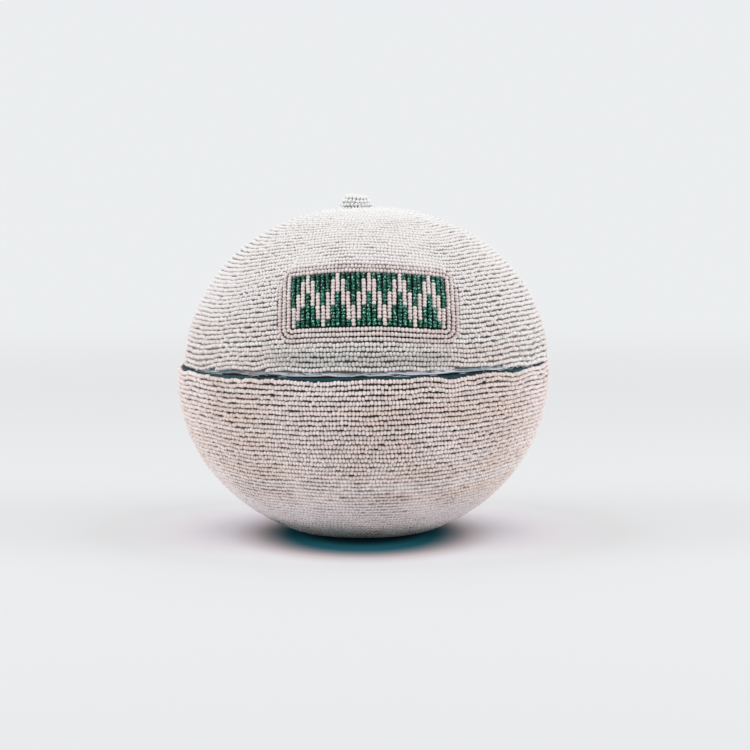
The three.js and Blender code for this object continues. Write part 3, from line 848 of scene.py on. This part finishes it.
def panel_spot(turn, s):
    """The panel's own u and v of a point on the lid."""
    s = s - slow_wave.at(turn, s)
    u = (turn - PANEL_TURN) * lid.at(s, 0)[0]
    even = (1 + PANEL_BOW_FOOT) / 2 * bow(u)
    return u, (s - PANEL_S - even) / (1 + (1 - PANEL_BOW_FOOT) * bow(u) / FIELD_H)


CORNER_POINTS = 12
FRAME_POINTS = 400


def rounded_frame(grown, radius):
    """A rounded rectangle about the field, anticlockwise from its right side's foot."""
    half_w, half_h = FIELD_W / 2 + grown, FIELD_H / 2 + grown
    corners = [(1, 1), (-1, 1), (-1, -1), (1, -1)]
    points = []
    for corner, (x, y) in enumerate(corners):
        for turn in np.linspace(corner, corner + 1, CORNER_POINTS) * (math.pi / 2):
            u = x * (half_w - radius) + radius * math.cos(turn)
            points.append((u, y * (half_h - radius) + radius * math.sin(turn)))
    points = np.array(points + points[:1])
    marks = marks_of(points)
    return along_line(points, marks, np.linspace(0, marks[-1], FRAME_POINTS, endpoint=False))


def outside_frame(u, v, grown):
    """Whether a point lies outside a rounded rectangle that is this much larger than the field."""
    radius = BORDER_CORNER + grown
    over_u = np.abs(u) - (FIELD_W / 2 + grown - radius)
    over_v = np.abs(v) - (FIELD_H / 2 + grown - radius)
    beyond = np.hypot(np.maximum(over_u, 0), np.maximum(over_v, 0))
    return beyond + np.minimum(np.maximum(over_u, over_v), 0) > radius


# Bowl and lid.
EDGE_PULL = 1.2  # rows that lie this far over the panel's top or foot are moved off it
PULL_INSIDE, PULL_FADE = 6, 5
SNUG = 0.2
BOWL_GAPS = 170
LID_GAPS = 110
BOWL_BANDS = ["rim", "upper", "middle", "lower", "underside", "foot"]
LID_BANDS = ["rim", "lower", "middle", "upper", "shoulder", "crown"]


def beside_panel(turn, s):
    """Keeps the rows above and below the panel off its border."""
    u, v = panel_spot(turn, s)
    over = PANEL_TOP + BEAD_R - PANEL_S - v
    under = v - (PANEL_FOOT - BEAD_R - PANEL_S)
    move = np.where((over > 0) & (over < EDGE_PULL), over, 0)
    move = move - np.where((under > 0) & (under < EDGE_PULL), under, 0)
    return s + move * (1 - smooth((np.abs(u) - PANEL_SIDE + PULL_INSIDE) / PULL_FADE))


def clear_of_lid_pieces(turn, s, line):
    u, v = panel_spot(turn, s)
    room = GAP + 2 * STRING_PITCH - SNUG
    free = outside_frame(u, v, room)
    free &= outside_frame(u, v, room + STRING_PITCH) | (v > LOWER_BORDER_ENDS - FIELD_H / 2 + 0.4 * BEAD_R)
    knob = np.hypot(line[..., 0] - LID_SHIFT - KNOB_X, line[..., 1])
    return free & (knob > KNOB_RINGS[0] + BEAD_R)


sew(
    "bowl", bowl, bowl.reach(BEAD_R, BEAD_R + FOOT_LIFT), [], BOWL_BANDS, BOWL_GAPS, bowl_sway,
    lambda turn, s: s, lambda turn, s, line: s > NO_ROW, BOWL_GLASS,
)
sew(
    "lid", lid, lid.length - KNOB_RINGS[0] - KNOB_X - ROW_PITCH / 2, [(PANEL_FOOT, -1), (PANEL_TOP, 1)],
    LID_BANDS, LID_GAPS, lid_sway, beside_panel, clear_of_lid_pieces, LID_GLASS,
)

# Panel: the border's strings, then the field's upright strings piece by piece.
for order, name in enumerate(["panel_border_inner", "panel_border_outer", "panel_border_lower"]):
    grown = GAP + (order + 0.5) * STRING_PITCH
    frame_line = rounded_frame(grown, BORDER_CORNER + order * STRING_PITCH)
    strings = Strings()
    for run, closed in runs((order < 2) | (frame_line[:, 1] < LOWER_BORDER_ENDS - FIELD_H / 2)):
        strings.lay(*panel_line(*frame_line[run].T), closed)
    strings.piece(name, "lid", PANEL_GLASS, "panel_beads")

PERIOD = 2 * len(TOOTH_BEADS)
STRING_WANDER = 0.12


def piece_at(string, bead):
    """Which piece a bead of the field belongs to: a tooth from below or above, or the pale strings."""
    from_lower = abs(string % PERIOD - len(TOOTH_BEADS))
    from_upper = len(TOOTH_BEADS) - from_lower
    heights = TOOTH_BEADS + [0]
    if bead < heights[from_lower]:
        return f"panel_tooth_lower_{string // PERIOD + 1}"
    if bead >= PANEL_BEADS - heights[from_upper]:
        return f"panel_tooth_upper_{(string + len(TOOTH_BEADS)) // PERIOD + 1}"
    return "panel_pale_strings"


field = {}
for string in range(PANEL_STRINGS):
    names = [piece_at(string, bead) for bead in range(PANEL_BEADS)]
    sway = rng.normal(0, STRING_WANDER, 3)
    start = 0
    for bead in range(1, PANEL_BEADS + 1):
        if bead < PANEL_BEADS and names[bead] == names[start]:
            continue
        v = np.linspace(start, bead, 12) * BEAD_LENGTH - FIELD_H / 2
        u = (string + 0.5) * STRING_PITCH - FIELD_W / 2
        u = u + sway[0] * np.sin(v / 5 + sway[1] * 9) + sway[2] * 0.5
        line, outs = panel_line(u, v)
        field.setdefault(names[start], Strings()).lay(line, outs, False, 1.02)
        start = bead
for name, strings in field.items():
    if name == "panel_pale_strings":
        strings.piece(name, "lid", PANEL_GLASS, "panel_beads")
    else:
        strings.piece(name, "lid", GREEN_GLASS, "green_beads")

# Knob: rings of beads that make a low mound, the top one wound in to its middle.
CROWN_Z = float(lid.at(lid.length, CLOTH_OUT)[1])
ring_turns = np.linspace(0, math.tau, 90, endpoint=False)
for ring, outer_r in enumerate(KNOB_RINGS):
    strings = Strings()
    z = CROWN_Z + GAP + BEAD_R + ring * (2 * BEAD_R - KNOB_NEST)
    radii = [outer_r - BEAD_R]
    if ring == len(KNOB_RINGS) - 1:
        radii += [outer_r - 3 * BEAD_R, outer_r - 4.7 * BEAD_R]
    for inner, radius in enumerate(radii):
        wobble = 1 + 0.03 * np.sin(2 * ring_turns + ring * 1.3)
        sag = 0.12 * ring * (1 + np.cos(ring_turns + 0.5))
        x = KNOB_X + LID_SHIFT + radius * wobble * np.cos(ring_turns)
        line = np.stack([x, radius * wobble * np.sin(ring_turns), z - sag + 0.1 * inner], axis=-1)
        outs = line - np.array([KNOB_X + LID_SHIFT, 0, z - radius * (0.2 + 0.3 * ring + inner)])
        strings.lay(line, unit(outs), True, play=0.1)
    strings.piece(f"knob_string_{ring + 1}", "lid", LID_GLASS, "lid_beads")


# Cloth and gourd, turned from their sections. The weave is mapped about a point inside the vessel.
WEAVE_Z = 0.08
WEAVE_R = 0.088


def spun(name, section, shift, steps=144, crease=40):
    """A closed shell turned from a section of radii and heights, with a UV map in metres."""
    bm = bmesh.new()
    line = [bm.verts.new((r * MM, 0, z * MM)) for r, z in section]
    edges = [bm.edges.new(pair) for pair in zip(line, line[1:])]
    if section[0][0] > 0.01 or section[-1][0] > 0.01:
        edges.append(bm.edges.new((line[-1], line[0])))
    turned(bm, line + edges, (0, 0, 1), steps)
    bmesh.ops.remove_doubles(bm, verts=bm.verts, dist=0.00001)
    bmesh.ops.recalc_face_normals(bm, faces=bm.faces)
    mesh = mesh_of(bm, name, crease)
    unrolled = mesh.uv_layers.new(name="unrolled")
    points = points_of(mesh)
    turn = np.arctan2(points[:, 1], points[:, 0])
    fall = np.arctan2(points[:, 2] - WEAVE_Z, np.hypot(points[:, 0], points[:, 1]))
    corners = np.zeros(len(mesh.loops), int)
    mesh.loops.foreach_get("vertex_index", corners)
    u = turn[corners]
    for face in mesh.polygons:
        loops = slice(face.loop_start, face.loop_start + face.loop_total)
        if np.ptp(u[loops]) > math.pi:
            u[loops] = np.where(u[loops] < 0, u[loops] + math.tau, u[loops])
    uv = np.stack([u, fall[corners]], axis=-1) * WEAVE_R
    unrolled.data.foreach_set("uv", uv.ravel())
    r = np.hypot(points[:, 0], points[:, 1]) / MM
    turn = np.arctan2(points[:, 0], -points[:, 1])
    set_points(mesh, place(r, points[:, 2] / MM, turn, shift) * MM)
    return mesh


def shell_section(outline, outer, inner, steps=40):
    """The section of a layer between two depths, from its rim to the axis and back."""
    side = outline.up
    seat = SEAM_Z + side * (SEAM_GAP / 2 + CLOTH + GAP)
    sides = []
    for under in (outer, inner):
        floor = BASE_CLOTH + GAP + under - CLOTH_OUT
        end = outline.reach(under, floor) if side < 0 else outline.length
        r, z = outline.at(np.linspace(outline.reach(under, seat), end, steps), under)
        r = np.maximum(r, 0)
        line = list(zip(r, z))
        if side < 0:
            line.append((0, floor))
        else:
            line[-1] = (0, line[-1][1])
        sides.append(line)
    return sides[0] + sides[1][::-1]


def swept_area(section):
    """The area that a line turned about the axis sweeps, in square metres."""
    r, z = np.array(section).T
    return float((math.pi * (r[1:] + r[:-1]) * np.hypot(np.diff(r), np.diff(z))).sum()) * MM**2


def swept_length(section):
    r, z = np.array(section).T
    return float(np.hypot(np.diff(r), np.diff(z)).sum())


def cut_from_square(section):
    """Works out the side of the square piece of cloth that a stretched cotton's gores were cut out of, and
    the area they sweep, and keeps neither.
    """
    half = section[: len(section) // 2]
    side = 2 * swept_length(half) * MM
    swept_area(half)


for outline, half, cloth, shift in [(bowl, "bowl", GROUND_COTTON, 0), (lid, "lid", LID_COTTON, LID_SHIFT)]:
    wall = spun(f"{half}_gourd_wall", shell_section(outline, GOURD_OUT, GOURD_IN), shift)
    finished(wall, half, GOURD_WOOD, "gourd", f"{half}_gourd")
    section = shell_section(outline, CLOTH_OUT, CLOTH_IN)
    ground = spun(f"{half}_ground", section, shift)
    piece = finished(ground, half, cloth, "ground_cotton", f"{half}_ground_cloth")
    cut_from_square(section)


RIM_R = 88
UNDER_BEADS = 1.3  # how far the bowl's hem runs on behind its first row of beads
EDGE_REACH = 0.9  # the fold's pale edge, from the seam
HEM_REACH = 2.6
HEM_R = 86  # all of the binding outside this radius is hem
MOST_LIFT = 1.7


def binding_section(outline):
    """A strip folded over the rim: the hem outside, the fold and a long leg inside."""
    side = outline.up
    face = SEAM_Z + side * SEAM_GAP / 2
    hem_end = face + side * (LID_HEM if side > 0 else BOWL_HEM + UNDER_BEADS)
    leg_end = face + side * BINDING_LEG
    at = outline.point
    outer = [at(HEM_OUT + 0.15, hem_end)]
    outer += [at(HEM_OUT, z) for z in np.linspace(hem_end - side * 0.3, face + side * 0.35, 4)]
    fold = [at(HEM_OUT + 0.35, face + side * 0.08)]
    cap = [at(HEM_OUT + 1.0, face), at(GOURD_OUT, face), at(GOURD_IN, face)]
    leg = [at(LEG_IN - 0.2, face + side * 0.1), at(LEG_IN, face + side * 0.5)]
    leg += [at(LEG_IN, z) for z in np.linspace(face + side * 2, leg_end, 6)]
    back = [at(LEG_OUT, z) for z in np.linspace(leg_end, face + side * CLOTH, 6)]
    under = [at(HEM_OUT + CLOTH + 0.05, face + side * CLOTH), at(HEM_OUT + CLOTH, hem_end)]
    return outer + fold + cap + leg + back + under


def crumpled(mesh, ripple, fine, side, shift):
    """Lifts the fold's edge unevenly away from the seam, puckers the hem and marks the edge."""
    points = points_of(mesh) / MM
    turn = np.arctan2(points[:, 0] - shift, -points[:, 1])
    above = points[:, 2] - SEAM_Z - math.tan(SEAM_LEAN) * (points[:, 0] - shift)
    from_face = np.abs(side * above - SEAM_GAP / 2)
    outward = smooth((np.hypot(points[:, 0] - shift, points[:, 1]) - HEM_R) / 3)
    mark(mesh, "edge", np.clip(1.5 - from_face / EDGE_REACH, 0, 1) * outward)
    lift = np.clip(ripple.at(turn, 0), 0, 0.8)
    lift = lift + lenses(turn, LIFT) if side > 0 else lift * 0.3 + 0.25 * lenses(turn, DIP)
    pucker = fine.at(turn, 0) * outward
    points[:, 2] += side * np.clip(lift, 0, MOST_LIFT) * np.clip(1 - from_face / HEM_REACH, 0, 1) * outward
    points[:, 0] += np.sin(turn) * pucker
    points[:, 1] -= np.cos(turn) * pucker
    set_points(mesh, points * MM)


for outline, half, shift, cloth in [
    (bowl, "bowl", 0, (BOWL_HEM_PAINTED_SHADE, "dark_binding")),
    (lid, "lid", LID_SHIFT, (LID_HEM_COTTON, "pale_binding")),
]:
    section = binding_section(outline)
    mesh = spun(f"{half}_binding", section, shift, steps=360, crease=70)
    crumpled(mesh, Ripple(0.5, 8, 40, 0.1), Ripple(0.12, 30, 110, 0.9, 20), outline.up, shift)
    piece = finished(mesh, half, *cloth, f"{half}_rim_binding")
    flat = (swept_length(section) / 2 * MM, math.tau * RIM_R * MM)

# Collar inside the lid.
COLLAR_CHAMFER = 0.4
COLLAR_TOP_CHAMFER = 0.5
lid_face = SEAM_Z + SEAM_GAP / 2
foot_z = SEAM_Z - COLLAR_DROP
chamfer_z = foot_z + COLLAR_CHAMFER
top_z = lid_face + BINDING_LEG
shoulder_z = top_z - COLLAR_CHAMFER
outer_r = lid.point(COLLAR_OUT, lid_face)[0]
inner_r = lid.point(COLLAR_IN, lid_face)[0]
outer = [(outer_r - COLLAR_CHAMFER, foot_z), (outer_r, chamfer_z), (outer_r, lid_face)]
outer += [lid.point(COLLAR_OUT, z) for z in np.linspace(lid_face + 2, shoulder_z, 5)]
inner = [lid.point(COLLAR_IN, z) for z in np.linspace(shoulder_z, lid_face, 6)]
inner += [(inner_r, chamfer_z), (inner_r + COLLAR_CHAMFER, foot_z)]
top = [(outer[-1][0] - COLLAR_TOP_CHAMFER, top_z), (inner[0][0] + COLLAR_TOP_CHAMFER, top_z)]
mesh = spun("collar", outer + top + inner, LID_SHIFT)
piece = finished(mesh, "lid", COLLAR_COTTON, "pale_binding", "lid_collar")
collar_flat = ((BINDING_LEG + COLLAR_DROP) * MM, math.tau * outer_r * MM)

# Pad under the base, and the knob's core.
base_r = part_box("base_cloth")[1].x / MM
section = [(0, 0), (base_r - 0.7, 0), (base_r - 0.15, 0.35), (base_r, 0.8), (base_r - 0.15, 1.3)]
section += [(base_r - 0.6, BASE_CLOTH), (0, BASE_CLOTH)]
mesh = spun("base_pad", section, 0)
piece = finished(mesh, "bowl", BASE_COTTON, "ground_cotton", "base_cloth")

core_foot = CROWN_Z + GAP
core_top = core_foot + 3 * (2 * BEAD_R - KNOB_NEST)
section = [(0, core_foot), (5.6, core_foot), (5.7, CROWN_Z + 2), (5.2, CROWN_Z + 4), (3.9, core_top)]
section += [(0, core_top + 0.2)]
mesh = spun("knob_padding", section, LID_SHIFT + KNOB_X, 48)
piece = finished(mesh, "lid", KNOB_COTTON, "ground_cotton", "knob_core")


# Loose threads at the hem. Each has a turn, a height over the seam, a length and a slope.
THREAD_R = 0.11
SPREAD_R = 90  # turns a length along the hem into a turn
HANGING = -0.5  # a thread with a steeper slope than this hangs down from the rows


def loose_threads(name, stray):
    curves = bpy.data.curves.new(name, "CURVE")
    curves.dimensions = "3D"
    curves.bevel_depth = THREAD_R * MM
    curves.bevel_resolution = 1
    for turn, height, length, slope in stray:
        share = np.linspace(0, 1, 9)
        if slope < HANGING:
            s, turns, under = height * (1 - share), turn + 2.6 * share**1.4 / SPREAD_R, -0.15
        else:
            s = height - 0.1 + slope * length * share + 0.35 * np.sin(share * 7 + turn * 5)
            turns, under = turn + length * share / SPREAD_R, HEM_OUT - 0.25
        r, z = lid.at(np.maximum(s, 0.1), under)
        line = place(r, z, turns, LID_SHIFT) * MM
        spline = curves.splines.new("POLY")
        spline.points.add(len(share) - 1)
        spline.points.foreach_set("co", np.hstack([line, np.ones((len(share), 1))]).ravel())
    holder = bpy.data.objects.new(name, curves)
    mesh = bpy.data.meshes.new_from_object(holder)
    bpy.data.objects.remove(holder)
    bpy.data.curves.remove(curves)
    mesh.shade_smooth()
    return mesh


def stray_threads(count, turns, heights, lengths):
    return [
        (rng.uniform(*turns), rng.uniform(*heights), rng.uniform(*lengths), rng.normal(0, 0.05))
        for _ in range(count)
    ]


pale = stray_threads(46, (-math.pi, math.pi), (-0.1, 1.0), (3, 16)) + [(math.radians(36.5), 6.5, 5.0, -0.9)]
rust = stray_threads(5, (-0.80, -0.66), (1.3, 2.0), (2, 5))
rust += stray_threads(5, (1.04, 1.12), (0.6, 1.4), (1, 3))
finished(loose_threads("hem_threads", pale), "lid", THREAD_COTTON, "pale_binding")
finished(loose_threads("rust_threads", rust), "lid", RUST_COTTON, "pale_binding")

# Camera.
ELEVATION = math.radians(4.9)
DISTANCE = 1.5
LOOKED_AT = Vector((0.00575, 0, 0.0779))


def pointed(thing, spot, target):
    """Places a camera or lamp and points it at a target."""
    thing.location = spot
    thing.rotation_mode = "QUATERNION"
    thing.rotation_quaternion = (target - spot).to_track_quat("-Z", "Y")


lens = bpy.data.cameras.new("camera")
lens.lens = 144
lens.sensor_width = 36
lens.clip_start = 0.05
camera = put_in_scene("camera", lens)
back = Vector((0, -math.cos(ELEVATION), math.sin(ELEVATION)))
pointed(camera, LOOKED_AT + back * DISTANCE, LOOKED_AT)
bpy.context.scene.camera = camera

# Studio: a pale floor that fades into the backdrop, with a painted shadow round the bowl, three soft lamps
# and an even sky.
BACKDROP = (0.838, 0.855, 0.871)
LAMPS_AIM = Vector((0, 0, 0.08))


def studio_floor():
    """White card with a painted shadow: dark blue-green where the bowl touches it and faintly violet round
    that. About the bowl it is paler, painted light that lifts the shadow there.
    """
    bm = bmesh.new()
    bmesh.ops.create_grid(bm, x_segments=1, y_segments=1, size=3.0)
    mesh = mesh_of(bm, "floor")
    finish = Finish("floor_card_painted_shadow", {"Roughness": 0.9, "Specular IOR Level": 0.0})
    sockets = {"Vector": finish.spot, "Location": (0, 0.225, 0), "Scale": (26.0, 16.1, 1)}
    moved = finish.node("Mapping", sockets, vector_type="POINT").outputs["Vector"]
    far, near = [
        Wire(finish, finish.node("VectorMath", {0: vector}, operation="LENGTH").outputs["Value"])
        for vector in (finish.spot, moved)
    ]
    # Paler about the bowl: painted light.
    card = finish.mix(far.rise(0.075, 0.135), (0.83, 0.81, 0.85), (0.672, 0.677, 0.682))
    # Painted shadow: faintly violet, then blue-green, then near black where the bowl touches the card.
    card = finish.mix(near.rise(1.17, 1.75), (0.54, 0.47, 0.48), card)
    card = finish.mix(near.rise(0.90, 1.42), (0.02, 0.125, 0.165), card)
    card = finish.mix(near.rise(0.46, 0.84), (0.006, 0.035, 0.048), card)
    seen = finish.node("LightPath").outputs["Is Camera Ray"]
    finish.feed(finish.shader.inputs["Base Color"], finish.mix(seen, (0.78, 0.78, 0.78), card))
    clear = finish.node("BsdfTransparent").outputs[0]
    faded = {0: far.rise(0.35, 1.6), 1: finish.shader.outputs[0], 2: clear}
    shown = finish.node("MixShader", faded).outputs[0]
    finish.feed(finish.output.inputs["Surface"], shown)
    mesh.materials.append(finish.material)
    put_in_scene("floor", mesh)


def studio_sky(strength):
    """The camera and the reflections see the backdrop, and a cool white lights the rest."""
    world = bpy.data.worlds.new("sky")
    bpy.context.scene.world = world
    sky = Shading(world)
    seen = sky.node("Background", {"Color": BACKDROP}).outputs[0]
    light = sky.node("Background", {"Color": (0.98, 0.99, 1.0), "Strength": strength}).outputs[0]
    path = sky.node("LightPath").outputs
    either = sky.maths("MAXIMUM", path["Is Camera Ray"], path["Is Glossy Ray"])
    either = sky.maths("MAXIMUM", either, path["Is Transmission Ray"])
    mixed = sky.node("MixShader", {0: either, 1: light, 2: seen}).outputs[0]
    sky.node("OutputWorld", {"Surface": mixed})


def softbox(name, spot, size, power):
    lamp = bpy.data.lights.new(name, "AREA")
    lamp.shape = "RECTANGLE"
    lamp.size, lamp.size_y = size
    lamp.energy = power
    pointed(put_in_scene(name, lamp), Vector(spot), LAMPS_AIM)


studio_floor()
studio_sky(0.85)
softbox("top_lamp", (0.0, 0.12, 1.7), (1.6, 1.2), 8.5)
softbox("left_lamp", (-1.5, -0.35, 0.5), (1.0, 1.4), 8.7)
softbox("right_lamp", (1.5, -0.3, 0.5), (1.0, 1.4), 8.9)
bpy.context.scene.view_settings.view_transform = "Standard"
